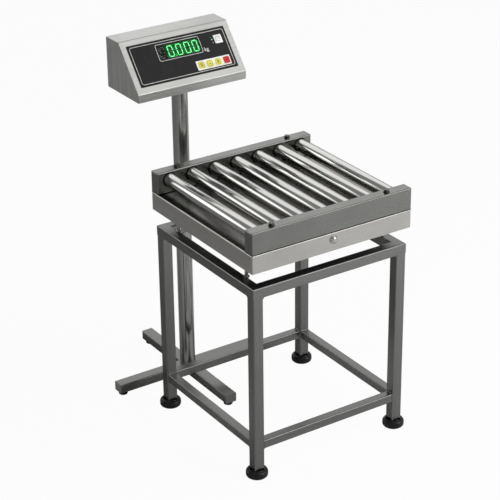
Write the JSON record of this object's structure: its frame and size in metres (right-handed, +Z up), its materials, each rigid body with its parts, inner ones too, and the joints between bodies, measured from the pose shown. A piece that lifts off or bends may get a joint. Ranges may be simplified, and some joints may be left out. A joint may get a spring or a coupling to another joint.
{
  "type": "roller conveyor scale",
  "caption": "Platform scale with a bed of gravity rollers on a welded tube table, and a free-standing column beside it that carries a sloping weight indicator.",
  "frame": {"origin": "middle of the floor rectangle that the table and the column stand cover, on the floor", "axes": "+X along the conveying direction, +Y along the rollers towards the column, +Z up"},
  "size_m": [0.5814, 0.8414, 1.046],
  "materials": {
    "stainless_tube": "satin brushed stainless square tube",
    "stainless_sheet": "brushed stainless sheet",
    "polished_steel": "polished stainless tube",
    "bearing": "pressed steel bearing inserts",
    "axle_steel": "bright drawn bar",
    "fastener": "plain stainless screws",
    "dark_fastener": "dark oxide bolts",
    "foot_black": "glossy black moulding",
    "rubber_black": "matte black rubber",
    "base_steel": "dark grey painted tube",
    "cell_aluminium": "bare machined aluminium",
    "spider_steel": "dark grey painted bars",
    "membrane_black": "printed overlay, black with a thin white line",
    "window_clear": "green tinted clear pane",
    "display_dark": "dark green display face",
    "board_green": "solder mask green",
    "battery_grey": "grey battery case",
    "gland_black": "black nylon",
    "key_white": "white key",
    "key_yellow": "yellow key",
    "key_red": "red key"
  },
  "bodies": {
    "frame": {"leg_front_left": "stainless_tube", "leg_front_right": "stainless_tube", "leg_back_left": "stainless_tube", "leg_back_right": "stainless_tube", "top_rails_long": "stainless_tube", "top_rails_side": "stainless_tube", "lower_rails_long": "stainless_tube", "lower_rails_side": "stainless_tube", "base_frame": "base_steel", "base_feet": "fastener", "overload_stops": "fastener", "load_cell": "cell_aluminium", "cell_base_bolts": "fastener", "stand_beam": "stainless_tube", "stand_side_arms": "stainless_tube", "stand_feet": "rubber_black", "column": "polished_steel"},
    "platform": {"platform_spider": "spider_steel", "cell_top_bolts": "fastener", "support_pads": "rubber_black", "tray": "stainless_sheet", "front_cap_screw": "fastener", "channel_front": "stainless_sheet", "channel_back": "stainless_sheet", "channel_bolts": "dark_fastener", "roller_axles": "axle_steel", "axle_clips": "fastener"},
    "roller_1": {"roller_1_tube": "polished_steel", "roller_1_bearings": "bearing"},
    "roller_2": {"roller_2_tube": "polished_steel", "roller_2_bearings": "bearing"},
    "roller_3": {"roller_3_tube": "polished_steel", "roller_3_bearings": "bearing"},
    "roller_4": {"roller_4_tube": "polished_steel", "roller_4_bearings": "bearing"},
    "roller_5": {"roller_5_tube": "polished_steel", "roller_5_bearings": "bearing"},
    "roller_6": {"roller_6_tube": "polished_steel", "roller_6_bearings": "bearing"},
    "roller_7": {"roller_7_tube": "polished_steel", "roller_7_bearings": "bearing"},
    "foot_front_left": {"levelling_foot_front_left": "foot_black"},
    "foot_front_right": {"levelling_foot_front_right": "foot_black"},
    "foot_back_left": {"levelling_foot_back_left": "foot_black"},
    "foot_back_right": {"levelling_foot_back_right": "foot_black"},
    "indicator": {"housing": "stainless_sheet", "bottom_cover": "stainless_sheet", "cover_screws": "fastener", "swivel_spigot": "axle_steel", "membrane": "membrane_black", "display_window": "window_clear", "display_module": "display_dark", "main_board": "board_green", "battery": "battery_grey", "cable_glands": "gland_black"},
    "key_zero": {"key_zero": "key_yellow"},
    "key_tare": {"key_tare": "key_yellow"},
    "key_unit": {"key_unit": "key_yellow"},
    "key_memory": {"key_memory": "key_red"},
    "key_power": {"key_power": "key_white"}
  },
  "joints": [
    {"name": "platform_press", "type": "slide", "parent": "frame", "child": "platform", "axis": [0, 0, -1], "range_m": [0, 0.0005], "stiffness_N_per_m": 1000000, "springref_m": -0.00025, "deforming": ["load_cell"]},
    {"name": "roller_1_spin", "type": "hinge", "parent": "platform", "child": "roller_1", "pos_m": [-0.17945, -0.16825, 0.6994], "axis": [0, 1, 0], "continuous": true},
    {"name": "roller_2_spin", "type": "hinge", "parent": "platform", "child": "roller_2", "pos_m": [-0.10855, -0.16825, 0.6994], "axis": [0, 1, 0], "continuous": true},
    {"name": "roller_3_spin", "type": "hinge", "parent": "platform", "child": "roller_3", "pos_m": [-0.03765, -0.16825, 0.6994], "axis": [0, 1, 0], "continuous": true},
    {"name": "roller_4_spin", "type": "hinge", "parent": "platform", "child": "roller_4", "pos_m": [0.03325, -0.16825, 0.6994], "axis": [0, 1, 0], "continuous": true},
    {"name": "roller_5_spin", "type": "hinge", "parent": "platform", "child": "roller_5", "pos_m": [0.10415, -0.16825, 0.6994], "axis": [0, 1, 0], "continuous": true},
    {"name": "roller_6_spin", "type": "hinge", "parent": "platform", "child": "roller_6", "pos_m": [0.17505, -0.16825, 0.6994], "axis": [0, 1, 0], "continuous": true},
    {"name": "roller_7_spin", "type": "hinge", "parent": "platform", "child": "roller_7", "pos_m": [0.24595, -0.16825, 0.6994], "axis": [0, 1, 0], "continuous": true},
    {"name": "level_front_left", "type": "slide", "parent": "frame", "child": "foot_front_left", "axis": [0, 0, -1], "range_m": [0, 0.015]},
    {"name": "level_front_right", "type": "slide", "parent": "frame", "child": "foot_front_right", "axis": [0, 0, -1], "range_m": [0, 0.015]},
    {"name": "level_back_left", "type": "slide", "parent": "frame", "child": "foot_back_left", "axis": [0, 0, -1], "range_m": [0, 0.015]},
    {"name": "level_back_right", "type": "slide", "parent": "frame", "child": "foot_back_right", "axis": [0, 0, -1], "range_m": [0, 0.015]},
    {"name": "indicator_swivel", "type": "hinge", "parent": "frame", "child": "indicator", "pos_m": [-0.05575, 0.18575, 0.9], "axis": [0, 0, 1], "range_deg": [-90, 90]},
    {"name": "key_zero_press", "type": "slide", "parent": "indicator", "child": "key_zero", "axis": [0, 0.7714, -0.6364], "range_m": [0, 0.0005], "stiffness_N_per_m": 2000},
    {"name": "key_tare_press", "type": "slide", "parent": "indicator", "child": "key_tare", "axis": [0, 0.7714, -0.6364], "range_m": [0, 0.0005], "stiffness_N_per_m": 2000},
    {"name": "key_unit_press", "type": "slide", "parent": "indicator", "child": "key_unit", "axis": [0, 0.7714, -0.6364], "range_m": [0, 0.0005], "stiffness_N_per_m": 2000},
    {"name": "key_memory_press", "type": "slide", "parent": "indicator", "child": "key_memory", "axis": [0, 0.7714, -0.6364], "range_m": [0, 0.0005], "stiffness_N_per_m": 2000},
    {"name": "key_power_press", "type": "slide", "parent": "indicator", "child": "key_power", "axis": [0, 0.7714, -0.6364], "range_m": [0, 0.0005], "stiffness_N_per_m": 2000}
  ]
}
